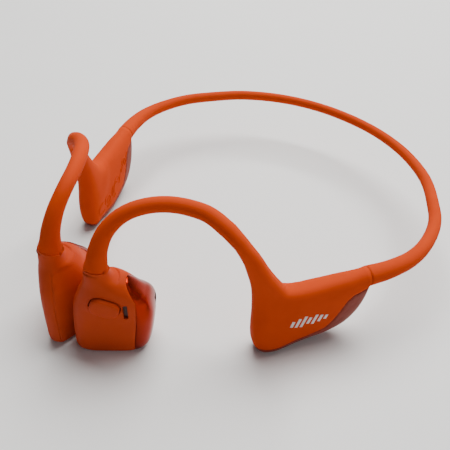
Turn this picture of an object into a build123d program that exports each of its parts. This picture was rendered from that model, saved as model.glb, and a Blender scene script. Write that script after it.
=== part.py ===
"""Open-ear bone conduction headset: one elastic neckband, two ear hooks, two pods, two electronics boxes.

Frame: millimetres, +Z up, the headset stands on Z = 0.  +X is the wearer's left, -Y is the wearer's front
(the pods), +Y is the back of the neckband.  The origin is under the middle of the whole headset.
"""
from build123d import *
import math
import os

os.makedirs("parts", exist_ok=True)

# ---------------------------------------------------------------- driving dimensions
# degrees each arm is turned about its band seam, as the springy band lies
SETTLE_YAW = {"left": -2.7, "right": -2.2}
SEAM_X, SEAM_Y, SEAM_Z = 54.3, -1.8, 20.5   # centre of the seam between box and neckband

# plan route of one arm, pod neck to band seam
ARM_PLAN = [(7.7, -61.0), (8.8, -57.3), (11.3, -52.5), (14.8, -47.9), (19.1, -43.3), (24.5, -38.8),
            (30.1, -36.2), (35.0, -33.6), (38.6, -30.6), (41.2, -27.5), (43.0, -24.0), (45.6, -18.6),
            (48.5, -13.2), (51.5, -7.5), (SEAM_X, SEAM_Y)]

# ear hook: distance along the plan route, height, radius, lean inward from the route
HOOK = [(0.0, 29.6, 3.0, 0.0), (0.5, 32.0, 2.8, 0.1), (1.8, 36.6, 2.4, 0.3), (4.6, 41.5, 2.1, 0.8),
        (9.3, 45.2, 2.0, 1.5), (15.1, 46.9, 2.0, 2.15), (21.4, 47.2, 2.05, 2.25), (27.5, 46.3, 2.1, 1.9),
        (32.3, 45.1, 2.15, 1.25), (36.4, 43.0, 2.2, 0.55)]

# box: lower end (distance, height), upper end (distance, height), half thickness, squareness
BOX = [((38.2, 38.6), (41.0, 41.6), 2.25, 2.1), ((40.2, 34.4), (44.9, 36.0), 2.4, 2.1),
       ((41.5, 30.2), (47.5, 31.2), 2.65, 2.2), ((42.5, 26.0), (50.2, 26.8), 3.0, 2.3),
       ((43.1, 21.0), (52.7, 23.4), 3.4, 2.4), ((43.2, 15.0), (54.6, 22.6), 3.8, 2.6),
       ((43.0, 9.0), (55.6, 22.4), 4.1, 2.8), ((43.4, 3.6), (56.4, 22.3), 4.3, 2.9),
       ((45.2, 0.3), (57.3, 22.3), 4.4, 3.0), ((49.0, -0.5), (58.6, 22.3), 4.4, 3.0),
       ((54.0, -0.4), (60.5, 22.4), 4.4, 3.0), ((59.5, 0.5), (63.3, 22.5), 4.4, 2.9),
       ((65.8, 1.35), (66.3, 22.7), 4.3, 2.8), ((71.7, 3.3), (69.4, 22.9), 4.1, 2.7),
       ((75.8, 7.3), (72.0, 23.0), 3.8, 2.5), ((77.7, 11.95), (74.2, 23.1), 3.4, 2.3),
       ((77.9, 16.1), (76.1, 23.2), 3.05, 2.1)]

MIDDLE_Y = -0.02                # middle of the headset front to back, put on the origin as nodes are written
RINGS_PER_SPAN = 3
BAND_SEAM_R = 3.0
# neckband: plan point and radius, seam to the back of the neck
BAND = [(57.6, 5.2, 2.5), (59.9, 13.5, 2.25), (60.0, 22.5, 2.05), (57.6, 32.5, 1.95), (52.9, 41.0, 1.88),
        (43.4, 53.2, 1.8), (30.4, 62.4, 1.75), (15.6, 67.9, 1.7), (0.0, 69.7, 1.7)]
BAND_BACK_Z = 19.7
BAND_SPLIT = 0.01             # half the gap between the two half bands
WIRE_R = 0.45
BAND_WIRE_START_S = 73.0      # where the band wire is anchored in the box
HOOK_WIRE_TAIL = [(39.6, 40.1), (42.5, 35.2), (44.5, 30.7), (46.4, 26.4), (48.2, 21.4)]
HOOK_WIRE_START_Z = 25.4

BOX_AT = (43.0, -24.0)        # a point of the box's straight plan line
BOX_HEADING = 63.1
TUB_HALF, TUB_WALL = 2.9, 0.7
# the joint between the silicone skin and the base cover, along the box and up
SPLIT = [(-15.0, 1.7), (-6.2, 2.3), (-1.9, 2.7), (7.1, 4.25), (12.9, 6.35), (15.1, 9.6), (16.9, 12.7),
         (18.5, 15.9), (20.6, 17.65), (24.3, 18.45), (29.0, 18.65)]
# the rigid tub inside the box
TUB = [(-5.0, 3.0), (-5.4, 14.0), (-3.8, 18.4), (-1.2, 20.2), (14.0, 20.4), (18.0, 20.2), (18.4, 19.0),
       (17.0, 15.6), (15.5, 12.5), (13.9, 9.5), (12.3, 7.0), (7.0, 4.9), (-1.8, 3.3)]
TUB_MOUTH_ALONG, TUB_MOUTH_HEIGHT = (-4.3, 12.4), (1.5, 8.2)
# the hollow above the base cover's floor
COVER_POCKET = [(-5.8, 1.2), (3.0, 1.3), (7.0, 2.1), (10.0, 3.1), (13.0, 4.3), (13.0, 8.0), (-5.8, 8.0)]
COVER_POCKET_HALF = 2.5
USB_L, USB_Z0 = 0.6, 0.35     # the charging socket's middle along the box, and its mouth
USB_SIZE = (8.94, 3.26, 7.35)
USB_WALL = 0.3
# volume buttons: name, place along the box, mouth height, flange height
VOLUME = [("volume_down_button", 7.3, 0.7, 2.6), ("volume_up_button", 11.1, 1.6, 4.1)]
VOLUME_LENGTH, VOLUME_WIDTH, VOLUME_GAP = 3.0, 2.2, 0.25
VOLUME_TRAVEL = 0.25
STATUS_LIGHT_L = -4.6
STATUS_LIGHT_Z, STATUS_LIGHT_R = (0.5, 2.2), 0.35

POD_AT = (7.7, -61.0)         # the neck axis in plan
POD_HEADING = 46.0
POD_PARTING = 0.5             # parting plane between the pod shells, inward of the neck axis
POD_MIDDLE = (2.6, 13.6)
# the pod's outline at its fullest: rearward, up
POD_OUTLINE = [(-8.4, 14.4), (-8.9, 8.9), (-9.0, 4.2), (-7.4, 0.6), (-3.5, -0.8), (4.0, -0.8), (9.0, -0.4),
               (12.2, 1.6), (13.7, 8.0), (14.6, 14.4), (14.5, 19.4), (12.9, 23.5), (9.3, 26.6),
               (4.6, 28.0), (-0.7, 27.7), (-4.9, 24.0), (-7.2, 19.4)]
# across the pod, outer face to inner face: the outline's scale along and up, and its shift rearward
POD_LEVELS = [(-4.6, 0.70, 0.70, 0.0), (-4.35, 0.84, 0.84, 0.0), (-3.6, 0.94, 0.94, 0.0), (-1.8, 1.0, 1.0, 0.0),
              (1.0, 0.97, 1.0, 0.35), (2.5, 0.90, 1.0, 0.8), (4.5, 0.82, 0.98, 1.6), (6.5, 0.73, 0.94, 2.4),
              (8.3, 0.62, 0.86, 3.0), (9.3, 0.48, 0.70, 3.4)]
NECK = [(29.6, 3.0), (27.2, 3.25), (24.5, 4.1), (20.0, 4.3)]
POD_COVER_ZONE = [(8.0, -1.0), (9.8, 14.0), (10.9, 23.0), (7.6, 27.2), (7.6, 32.0), (22.0, 32.0), (22.0, -1.0)]
POD_HOLLOW = (-4.0, 7.4, 2.4, 23.4)         # rearward from, to; up from, to
POD_HOLLOW_ROUND = 5.0
POD_HOLLOW_OUT, POD_HOLLOW_MID, POD_HOLLOW_IN = -3.2, 3.6, 6.4   # across the pod
PAD_MIDDLE, PAD_HALF, PAD_FACE = (4.2, 12.8), (4.2, 7.0), 10.4
TRANSDUCER, TRANSDUCER_R = (3.6, 12.8), 5.2
TRANSDUCER_OUT = 1.0                        # across the pod, where the transducer's back sits
DRIVER = (1.6, 12.8)                        # across the pod, up
DRIVER_R = 4.0
DRIVER_WELL = (9.6, 12.7)                   # rearward from, to
GRILLE = (13.0, 13.3)                       # rearward from, to
GRILLE_SLOT = (3.0, 6.0, 9.8, 15.8)         # across from, to; up from, to
MIC = (7.2, 18.1)
MIC_SLOT = (1.0, 5.2)
MIC_CAN = (1.4, 2.4)
BUTTON_AT, BUTTON_TILT = (1.8, 20.1), -25.0
BUTTON_SIZE, BUTTON_ROUND = (8.2, 5.8), 2.5
BUTTON_FACE, BUTTON_BACK = -5.3, -3.1
BUTTON_FLANGE, BUTTON_FLANGE_ROUND = (8.8, 6.4), 2.8
BUTTON_FLANGE_OUT, BUTTON_FLANGE_IN, BUTTON_ROOM_IN = -3.15, -2.75, -2.2   # across the pod
BUTTON_GAP, BUTTON_TRAVEL = 0.25, 0.3
SWITCH_SIZE, SWITCH_OUT = (3.0, 3.0), -2.4
BUTTON_BOARD_AT, BUTTON_BOARD = (1.7, 18.8), (7.0, 6.6)
BOARD_OUT, BOARD_IN = -1.6, -1.0            # across the pod

# the printed emblem on the box: plain slanted bars, place along the box and height of each
EMBLEM_BARS = [(1.0, 2.0), (2.7, 3.2), (4.4, 4.0), (6.1, 2.4), (7.8, 3.6), (9.5, 2.6), (11.2, 1.6)]
EMBLEM_Z, EMBLEM_BAR, EMBLEM_SLANT, EMBLEM_BACK = 12.2, 0.9, 0.35, -3.95


# ---------------------------------------------------------------- helpers
def blend4(p0, p1, p2, p3, t):
    """A point on a smooth curve between p1 and p2."""
    return 0.5 * (2 * p1 + (p2 - p0) * t + (2 * p0 - 5 * p1 + 4 * p2 - p3) * t * t
                  + (3 * p1 - p0 - 3 * p2 + p3) * t ** 3)


def smooth_route(points, per_span=8):
    ends = [tuple(2 * a - b for a, b in zip(points[0], points[1]))]
    tail = [tuple(2 * a - b for a, b in zip(points[-1], points[-2]))]
    ring = ends + list(points) + tail
    route = []
    for i in range(1, len(ring) - 2):
        for k in range(per_span):
            t = k / per_span
            route.append(tuple(blend4(*(ring[i + j][c] for j in (-1, 0, 1, 2)), t) for c in range(len(ring[i]))))
    return route + [points[-1]]


PLAN = smooth_route(ARM_PLAN)
PLAN_S = [0.0]
for here, there in zip(PLAN, PLAN[1:]):
    PLAN_S.append(PLAN_S[-1] + math.dist(here, there))


def plan_at(s):
    """Plan point and heading vector at distance s, straight beyond the ends."""
    i = 0
    while i < len(PLAN) - 2 and PLAN_S[i + 1] < s:
        i += 1
    (ax, ay), (bx, by) = PLAN[i], PLAN[i + 1]
    span = PLAN_S[i + 1] - PLAN_S[i]
    t = (s - PLAN_S[i]) / span
    return ax + (bx - ax) * t, ay + (by - ay) * t, (bx - ax) / span, (by - ay) / span


def outward(s):
    _, _, hx, hy = plan_at(s)
    return Vector(hy, -hx, 0)


def arm_point(s, z, inward=0.0):
    x, y, _, _ = plan_at(s)
    return Vector(x, y, z) - outward(s) * inward


def closed_section(centre, major, minor, a, b, power=2.0, count=16):
    """A closed smooth section: superellipse with half sizes a along major and b along minor."""
    points = []
    for k in range(count):
        t = 2 * math.pi * (k + 0.5) / count
        c, s = math.cos(t), math.sin(t)
        u = a * math.copysign(abs(c) ** (2 / power), c)
        v = b * math.copysign(abs(s) ** (2 / power), s)
        points.append(centre + major * u + minor * v)
    return Wire([Edge.make_spline(points, periodic=True)])


def ring_section(centre, direction, side, radius):
    """A round section across the direction."""
    minor = (side - direction * side.dot(direction)).normalized()
    return closed_section(centre, direction.cross(minor).normalized(), minor, radius, radius)


def to_pod(shape):
    return Location((POD_AT[0], POD_AT[1], 0), (0, 0, POD_HEADING)) * shape


def to_box(shape):
    return Location((BOX_AT[0], BOX_AT[1], 0), (0, 0, BOX_HEADING)) * shape


def settle(shape, side):
    """Put a piece of the left arm in place on the given side."""
    if side == "left":
        return shape.rotate(Axis((SEAM_X, SEAM_Y, 0), (0, 0, 1)), SETTLE_YAW[side])
    turned = shape.mirror(Plane.YZ)
    return turned.rotate(Axis((-SEAM_X, SEAM_Y, 0), (0, 0, 1)), SETTLE_YAW[side])


def settle_point(x, y, side):
    sign = 1 if side == "left" else -1
    yaw = math.radians(SETTLE_YAW[side])
    dx, dy = sign * x - sign * SEAM_X, y - SEAM_Y
    return (sign * SEAM_X + dx * math.cos(yaw) - dy * math.sin(yaw),
            SEAM_Y + dx * math.sin(yaw) + dy * math.cos(yaw))


def outline_prism(points, y0, y1, round_r=0.0):
    """A prism whose outline is given in X and Z, from y0 to y1."""
    wire = Polyline(*[(x, z) for x, z in points], close=True)
    face = make_face(wire)
    if round_r:
        face = fillet(face.vertices(), round_r)
    prism = extrude(face, y1 - y0)
    return Location((0, y1, 0), (90, 0, 0)) * prism


def box_at(x0, x1, y0, y1, z0, z1):
    return Pos((x0 + x1) / 2, (y0 + y1) / 2, (z0 + z1) / 2) * Box(x1 - x0, y1 - y0, z1 - z0)


def disc_y(x, z, radius, y0, y1):
    return Pos(x, (y0 + y1) / 2, z) * Rot(90, 0, 0) * Cylinder(radius, y1 - y0)


def disc_x(y, z, radius, x0, x1):
    return Pos((x0 + x1) / 2, y, z) * Rot(0, 90, 0) * Cylinder(radius, x1 - x0)


written = []


def write(shape, node):
    shape = Pos(0, -MIDDLE_Y, 0) * shape
    solids = shape.solids()
    export_step(shape if len(solids) > 1 else solids[0], f"parts/{node}.step")
    written.append(node)


# ---------------------------------------------------------------- arm: hook and box
def hook_ring(s, z, r, inward, before, after):
    direction = arm_point(after[0], after[1], after[3]) - arm_point(before[0], before[1], before[3])
    if s == HOOK[0][0]:
        direction = Vector(0, 0, 1)
    return ring_section(arm_point(s, z, inward), direction.normalized(), outward(s + 0.5), r)


def box_ring(low_s, low_z, high_s, high_z, half, power):
    p_low, p_high = arm_point(low_s, low_z), arm_point(high_s, high_z)
    major = (p_high - p_low) * 0.5
    side = outward((low_s + high_s) / 2)
    minor = (side - major * (side.dot(major) / major.dot(major))).normalized()
    return closed_section((p_low + p_high) * 0.5, major.normalized() * -1, minor, major.length, half, power)


def arm_body():
    """The outer form of one arm, pod seam to band seam, as one solid of many short rings."""
    hook = smooth_route(HOOK, RINGS_PER_SPAN)
    rings = [hook_ring(*row, hook[max(i - 1, 0)], hook[min(i + 1, len(hook) - 1)]) for i, row in enumerate(hook)]
    box = smooth_route([low + high + (half, power) for low, high, half, power in BOX], RINGS_PER_SPAN)
    rings += [box_ring(*row) for row in box]
    end = arm_point(PLAN_S[-1], SEAM_Z)
    _, _, hx, hy = plan_at(PLAN_S[-1])
    rings.append(ring_section(end, Vector(hx, hy, 0), outward(PLAN_S[-1]), BAND_SEAM_R))
    return Solid.make_loft(rings, ruled=True)


def tube(points, directions, sides, radius):
    """A round bar of one radius through the points."""
    rings = [ring_section(p, d, s, radius) for p, d, s in zip(points, directions, sides)]
    return Solid.make_loft(rings, ruled=True)


def arm_tube(route, radius):
    """A round bar along an arm, through (distance, height, inward) points."""
    fine = smooth_route(route, 2)
    points = [arm_point(*row) for row in fine]
    directions = []
    for i in range(len(points)):
        step = points[min(i + 1, len(points) - 1)] - points[max(i - 1, 0)]
        directions.append(step.normalized())
    return tube(points, directions, [outward(row[0]) for row in fine], radius)


def hook_wire():
    route = [(0.0, HOOK_WIRE_START_Z, 0.0), (0.0, 29.6, 0.0)]
    route += [(s, z, inward) for s, z, r, inward in HOOK[1:]]
    route += [(s, z, 0.0) for s, z in HOOK_WIRE_TAIL]
    return arm_tube(route, WIRE_R)


def band_route(side):
    """Centre points, radii and directions of one half band, from the seam to the back."""
    sign = 1 if side == "left" else -1
    rows = []
    for s in (PLAN_S[-1] - 0.5, PLAN_S[-1]):
        x, y, _, _ = plan_at(s)
        rows.append(settle_point(x, y, side) + (SEAM_Z, BAND_SEAM_R))
    for i, (x, y, r) in enumerate(BAND):
        z = SEAM_Z + (BAND_BACK_Z - SEAM_Z) * (i + 1) / len(BAND)
        rows.append((sign * max(x, BAND_SPLIT), y, z, r))
    rows = rows[:1] + smooth_route(rows[1:], 4)
    points = [Vector(x, y, z) for x, y, z, r in rows]
    directions = [(points[1] - points[0]).normalized()] * 2
    for i in range(2, len(points) - 1):
        directions.append((points[i + 1] - points[i - 1]).normalized())
    directions.append(Vector(-sign, 0, 0))
    return points[1:], [r for x, y, z, r in rows][1:], directions[1:]


def band_skin(side):
    points, radii, directions = band_route(side)
    rings = [ring_section(p, d, Vector(0, 0, 1), r) for p, r, d in zip(points, radii, directions)]
    return Solid.make_loft(rings, ruled=True)


def band_wire(side):
    """The band's spring wire, from its anchor in the box to the middle of the back."""
    points, _, directions = band_route(side)
    x, y, _, _ = plan_at(BAND_WIRE_START_S)
    start = Vector(*settle_point(x, y, side), SEAM_Z)
    points = [start] + points
    directions = [directions[0]] + directions
    return tube(points, directions, [Vector(0, 0, 1)] * len(points), WIRE_R)


def base_zone():
    return to_box(outline_prism(SPLIT + [(29.0, -5.0), (-15.0, -5.0)], -13, 13))


def tub_block():
    return to_box(outline_prism(TUB, -TUB_HALF, TUB_HALF))


def tub_mouth():
    """The way from the base cover's pocket up into the tub."""
    half = TUB_HALF - TUB_WALL
    return to_box(box_at(*TUB_MOUTH_ALONG, -half, half, *TUB_MOUTH_HEIGHT))


def box_tub():
    face = make_face(Polyline(*TUB, close=True))
    inside = offset(face, -TUB_WALL, kind=Kind.INTERSECTION)
    half = TUB_HALF - TUB_WALL
    hollow = Location((0, half, 0), (90, 0, 0)) * extrude(inside, 2 * half)
    return tub_block() - to_box(hollow) - tub_mouth()


def pill_z(x, y, length, width, z0, z1):
    """A prism with a stadium outline in plan."""
    bar = SlotOverall(length, width)
    return Pos(x, y, z0) * extrude(bar, z1 - z0)


def rounded_y(x, z, size, corner, y0, y1, tilt=0.0):
    """A rounded rectangular prism across the pod or box, from y0 to y1."""
    face = RectangleRounded(size[0], size[1], corner)
    prism = extrude(face, y1 - y0)
    return Pos(x, y1, z) * Rot(90, 0, 0) * Rot(0, 0, tilt) * prism


def emblem(body):
    """Plain slanted bars let into the outer face of the box, flush with it."""
    bars = []
    for place, height in EMBLEM_BARS:
        low, high = EMBLEM_Z - height / 2, EMBLEM_Z + height / 2
        lean = EMBLEM_SLANT * height / 2
        half = EMBLEM_BAR / 2
        corners = [(place - half - lean, low), (place + half - lean, low), (place + half + lean, high),
                   (place - half + lean, high)]
        bars.append(body & to_box(outline_prism(corners, -8.0, EMBLEM_BACK)))
    return Compound([solid for bar in bars for solid in bar.solids()])


# ---------------------------------------------------------------- pod pieces, in the pod's own frame
def pod_body():
    rings = []
    cx, cz = POD_MIDDLE
    for y, along, up, shift in POD_LEVELS:
        points = [(cx + shift + (u - cx) * along, y, cz + (z - cz) * up) for u, z in POD_OUTLINE]
        rings.append(Wire([Edge.make_spline([Vector(*p) for p in points], periodic=True)]))
    floor = Pos(0, 0, -10) * Box(80, 80, 20)
    return Solid.make_loft(rings) - floor


def pod_neck():
    rings = [ring_section(Vector(0, 0, z), Vector(0, 0, 1), Vector(0, -1, 0), r) for z, r in reversed(NECK)]
    return Solid.make_loft(rings)


def pod_hollow_outline(grow=0.0):
    u0, u1, z0, z1 = POD_HOLLOW
    face = RectangleRounded(u1 - u0 + 2 * grow, z1 - z0 + 2 * grow, POD_HOLLOW_ROUND + grow)
    return Pos((u0 + u1) / 2, (z0 + z1) / 2) * face


def across(face, y0, y1):
    """Extrude a face drawn in X and Z from y0 to y1."""
    return Location((0, y1, 0), (90, 0, 0)) * extrude(face, y1 - y0)


def pod_hollow():
    well = disc_y(*TRANSDUCER, TRANSDUCER_R + 0.2, TRANSDUCER_OUT - 0.05, POD_HOLLOW_IN)
    return across(pod_hollow_outline(), POD_HOLLOW_OUT, POD_HOLLOW_MID) + well


def pod_seal(grow=0.0):
    ring = pod_hollow_outline(0.7 + grow) - pod_hollow_outline(0.3 - grow)
    return across(ring, POD_PARTING - 0.4, POD_PARTING + 0.4)


def driver_well():
    return disc_x(DRIVER[0], DRIVER[1], DRIVER_R + 0.1, *DRIVER_WELL)


def button_hole():
    size = tuple(v + 2 * BUTTON_GAP for v in BUTTON_SIZE)
    return rounded_y(*BUTTON_AT, size, BUTTON_ROUND + BUTTON_GAP, -8.0, POD_HOLLOW_OUT + 0.5, BUTTON_TILT)


def pod_pieces(side):
    body = pod_body()
    neck = pod_neck()
    cover_zone = outline_prism(POD_COVER_ZONE, -12, 14)
    outer_half = Pos(0, POD_PARTING - 20, 10) * Box(80, 40, 80)
    inner_half = Pos(0, POD_PARTING + 20, 10) * Box(80, 40, 80)
    hollow = pod_hollow()
    seal = pod_seal()
    slot = box_at(MIC[0] - MIC_SLOT[0] / 2, MIC[0] + MIC_SLOT[0] / 2, -8, POD_HOLLOW_OUT,
                  MIC[1] - MIC_SLOT[1] / 2, MIC[1] + MIC_SLOT[1] / 2)
    wire_bore = Pos(0, 0, HOOK_WIRE_START_Z + 5) * Cylinder(WIRE_R + 0.15, 10)
    pad = Solid.make_loft([closed_section(Vector(PAD_MIDDLE[0], y, PAD_MIDDLE[1]), Vector(0, 0, 1),
                                          Vector(1, 0, 0), PAD_HALF[1] * k, PAD_HALF[0] * k, 2.4)
                           for y, k in ((8.4, 1.0), (9.3, 1.0), (9.9, 0.95), (PAD_FACE, 0.8))])

    outer = (body & outer_half) - cover_zone + neck - cover_zone - hollow - seal - slot - driver_well()
    mu, mz = MIC
    can_w, can_h = MIC_CAN
    outer -= wire_bore + box_at(mu - can_w / 2 - 0.1, mu + can_w / 2 + 0.1, -3.25, -2.0,
                                mz - can_h / 2 - 0.1, mz + can_h / 2 + 0.1)
    inner = (body & inner_half) - cover_zone - neck - hollow - seal - pad - driver_well()
    cover = (body & cover_zone) - neck - driver_well()
    cover -= box_at(DRIVER_WELL[1] - 0.2, 20.0, *GRILLE_SLOT)
    pieces = {}
    if side == "left":
        outer -= button_hole()
        room = tuple(v + 0.4 for v in BUTTON_FLANGE)
        outer -= rounded_y(*BUTTON_AT, room, BUTTON_FLANGE_ROUND + 0.2, POD_HOLLOW_OUT, BUTTON_ROOM_IN,
                           BUTTON_TILT)
        pieces["multifunction_button"] = (
            rounded_y(*BUTTON_AT, BUTTON_SIZE, BUTTON_ROUND, BUTTON_FACE, BUTTON_BACK, BUTTON_TILT)
            + rounded_y(*BUTTON_AT, BUTTON_FLANGE, BUTTON_FLANGE_ROUND, BUTTON_FLANGE_OUT, BUTTON_FLANGE_IN,
                        BUTTON_TILT))
        pieces["button_switch"] = rounded_y(*BUTTON_AT, SWITCH_SIZE, 0.3, SWITCH_OUT, BOARD_OUT, BUTTON_TILT)
        pieces["button_board"] = rounded_y(*BUTTON_BOARD_AT, BUTTON_BOARD, 1.0, BOARD_OUT, BOARD_IN)
    pieces["pod_outer_shell"] = outer
    pieces["pod_inner_shell"] = inner
    pieces["pod_rear_cover"] = cover
    pieces["skin_pad"] = pad
    pieces["pod_seal"] = seal

    tu, tz = TRANSDUCER
    r = TRANSDUCER_R
    pieces["transducer_yoke"] = disc_y(tu, tz, r, TRANSDUCER_OUT, 5.9) - disc_y(tu, tz, r - 0.8, 1.8, 7.0)
    pieces["transducer_magnet"] = disc_y(tu, tz, r - 2.4, 1.8, 4.2)
    pieces["transducer_coil"] = disc_y(tu, tz, r - 1.1, 3.0, 5.9) - disc_y(tu, tz, r - 2.1, 2.0, 7.0)
    spring = disc_y(tu, tz, r, 5.9, 6.15)
    for k in range(3):
        window = disc_y(tu, tz, r - 0.8, 5.0, 7.0) - disc_y(tu, tz, r - 1.8, 5.0, 7.0)
        wedge = Pos(tu, 0, tz) * Rot(0, 120 * k, 0) * box_at(0.8, 8.0, 5.0, 7.0, -8.0, 8.0)
        wedge &= Pos(tu, 0, tz) * Rot(0, 120 * k + 60, 0) * box_at(0.8, 8.0, 5.0, 7.0, -8.0, 8.0)
        spring -= window & wedge
    pieces["transducer_spring"] = spring + disc_y(tu, tz, 1.6, 6.1, POD_HOLLOW_IN)

    dy, dz = DRIVER
    start = DRIVER_WELL[0]
    frame = disc_x(dy, dz, DRIVER_R, start, start + 2.4) - disc_x(dy, dz, DRIVER_R - 0.6, start + 1.0, 16.0)
    pieces["air_driver_frame"] = frame + disc_x(dy, dz, 1.8, start + 0.8, start + 1.9)
    cone = disc_x(dy, dz, DRIVER_R - 0.2, start + 2.4, start + 2.55)
    pieces["air_driver_diaphragm"] = cone + disc_x(dy, dz, 2.0, start + 2.5, start + 2.8)
    pieces["sound_grille"] = box_at(*GRILLE, *GRILLE_SLOT)

    pieces["microphone"] = box_at(mu - can_w / 2, mu + can_w / 2, -3.2, -2.2, mz - can_h / 2, mz + can_h / 2)
    pieces["mic_mesh"] = box_at(mu - MIC_SLOT[0] / 2, mu + MIC_SLOT[0] / 2, -3.9, -3.6,
                                mz - MIC_SLOT[1] / 2, mz + MIC_SLOT[1] / 2)
    return {name: to_pod(shape) for name, shape in pieces.items()}


# ---------------------------------------------------------------- box pieces
def usb_cut():
    w, d, h = USB_SIZE
    return pill_z(USB_L, 0, w, d, -2.0, USB_Z0 + h)


def status_light():
    low, high = STATUS_LIGHT_Z
    return Pos(STATUS_LIGHT_L, 0, (low + high) / 2) * Cylinder(STATUS_LIGHT_R, high - low)


def right_box_pieces():
    w, d, h = USB_SIZE
    top = USB_Z0 + h
    shell = pill_z(USB_L, 0, w, d, USB_Z0, top)
    shell -= pill_z(USB_L, 0, w - 2 * USB_WALL, d - 2 * USB_WALL, USB_Z0 - 1, top - 1.2)
    pieces = {"charging_socket": shell}
    pieces["charging_tongue"] = box_at(USB_L - 3.3, USB_L + 3.3, -0.35, 0.35, USB_Z0 + 1.0, top - 1.2)
    pieces["main_board"] = box_at(-3.4, 12.6, 0.9, 1.5, 9.6, 17.4)
    chips = [(-1.8, 13.0, 3.8, 3.8), (3.2, 14.2, 4.4, 4.4), (7.8, 12.0, 2.6, 3.4), (10.8, 15.0, 2.0, 3.0)]
    pieces["board_chips"] = Compound([
        box_at(x - sx / 2, x + sx / 2, 0.0, 0.9, z - sz / 2, z + sz / 2).solid() for x, z, sx, sz in chips])
    switches = []
    for name, place, mouth, flange in VOLUME:
        stem = pill_z(place, 0, VOLUME_LENGTH, VOLUME_WIDTH, mouth, flange)
        pieces[name] = stem + pill_z(place, 0, VOLUME_LENGTH + 0.4, VOLUME_WIDTH + 0.8, flange, flange + 0.4)
        base = flange + 0.4 + VOLUME_TRAVEL + 0.1
        switches.append(box_at(place - 1.1, place + 1.1, -1.1, 1.1, base, base + 0.9).solid())
    pieces["volume_switches"] = Compound(switches)
    pieces["status_light"] = status_light()
    return {name: to_box(shape) for name, shape in pieces.items()}


def left_box_pieces():
    pieces = {"battery": box_at(-3.4, 11.2, -1.95, 1.95, 8.4, 17.4)}
    pieces["battery_board"] = box_at(12.0, 14.4, -0.3, 0.3, 13.2, 19.0)
    return {name: to_box(shape) for name, shape in pieces.items()}


def cover_holes():
    holes = usb_cut()
    for name, place, mouth, flange in VOLUME:
        holes += pill_z(place, 0, VOLUME_LENGTH + 2 * VOLUME_GAP, VOLUME_WIDTH + 2 * VOLUME_GAP, -2.0, 8.0)
    return to_box(holes + status_light())


# ---------------------------------------------------------------- the whole headset
def main():
    body = arm_body()
    zone = base_zone()
    floor = Pos(0, 0, -10) * Box(300, 300, 20)
    wire = hook_wire()
    bars = emblem(body)
    for side in ("left", "right"):
        skin = body - zone - tub_block() - tub_mouth() - wire - bars
        spring = band_wire(side)
        cover = (body & zone) - floor
        cover -= to_box(outline_prism(COVER_POCKET, -COVER_POCKET_HALF, COVER_POCKET_HALF))
        if side == "right":
            cover -= cover_holes()
        write(settle(skin, side) - spring, f"{side}_arm_skin")
        write(settle(cover, side), f"{side}_base_cover")
        write(settle(box_tub(), side), f"{side}_box_tub")
        write(settle(wire, side), f"{side}_hook_wire")
        write(settle(bars, side), f"{side}_emblem")
        write(band_skin(side) - spring, f"neckband_{side}")
        write(spring, f"neckband_wire_{side}")
        for name, shape in pod_pieces(side).items():
            node = name if name.startswith(("multifunction", "button")) else f"{side}_{name}"
            write(settle(shape, side), node)
        extras = left_box_pieces() if side == "left" else right_box_pieces()
        for name, shape in extras.items():
            write(settle(shape, side), name)
    print(len(written), "nodes")


main()
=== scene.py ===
"""Looks for the open-ear bone conduction headset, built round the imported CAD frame.

Shapes are worked out in millimetres in each pod's or box's own frame and written in metres in the CAD frame.
"""
import math

import bmesh
import bpy
from mathutils import Matrix, Vector
from mathutils.bvhtree import BVHTree


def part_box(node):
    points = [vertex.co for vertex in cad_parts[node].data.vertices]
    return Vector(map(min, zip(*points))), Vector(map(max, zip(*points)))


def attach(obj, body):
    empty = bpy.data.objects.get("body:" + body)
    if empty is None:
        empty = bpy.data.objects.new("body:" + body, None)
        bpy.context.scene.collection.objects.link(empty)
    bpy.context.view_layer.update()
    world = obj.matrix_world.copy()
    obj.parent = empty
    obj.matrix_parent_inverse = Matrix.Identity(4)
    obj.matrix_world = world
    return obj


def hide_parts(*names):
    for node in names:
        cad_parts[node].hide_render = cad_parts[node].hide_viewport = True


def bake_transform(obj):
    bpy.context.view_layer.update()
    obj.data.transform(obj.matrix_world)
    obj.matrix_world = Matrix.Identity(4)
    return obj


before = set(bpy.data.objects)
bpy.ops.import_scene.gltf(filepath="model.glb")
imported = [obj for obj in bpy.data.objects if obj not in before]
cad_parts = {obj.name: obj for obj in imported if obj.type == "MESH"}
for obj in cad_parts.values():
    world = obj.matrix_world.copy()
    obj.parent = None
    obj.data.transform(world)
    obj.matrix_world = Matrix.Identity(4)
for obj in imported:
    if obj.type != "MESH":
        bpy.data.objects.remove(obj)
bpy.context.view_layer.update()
MM = 0.001

# ---------------------------------------------------------------- driving dimensions, as in the CAD
SETTLE_YAW = {"left": math.radians(-2.7), "right": math.radians(-2.2)}
SEAM = Vector((54.3, -1.8, 20.5))
MIDDLE_Y = -0.02              # the drawn middle of the headset, on the origin in the CAD frame
SHIFT = Vector((0, -MIDDLE_Y, 0))
BAND_SEAM_R = 3.0
ARM_PLAN = [(7.7, -61.0), (8.8, -57.3), (11.3, -52.5), (14.8, -47.9), (19.1, -43.3), (24.5, -38.8),
            (30.1, -36.2), (35.0, -33.6), (38.6, -30.6), (41.2, -27.5), (43.0, -24.0), (45.6, -18.6),
            (48.5, -13.2), (51.5, -7.5), (54.3, -1.8)]
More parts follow.
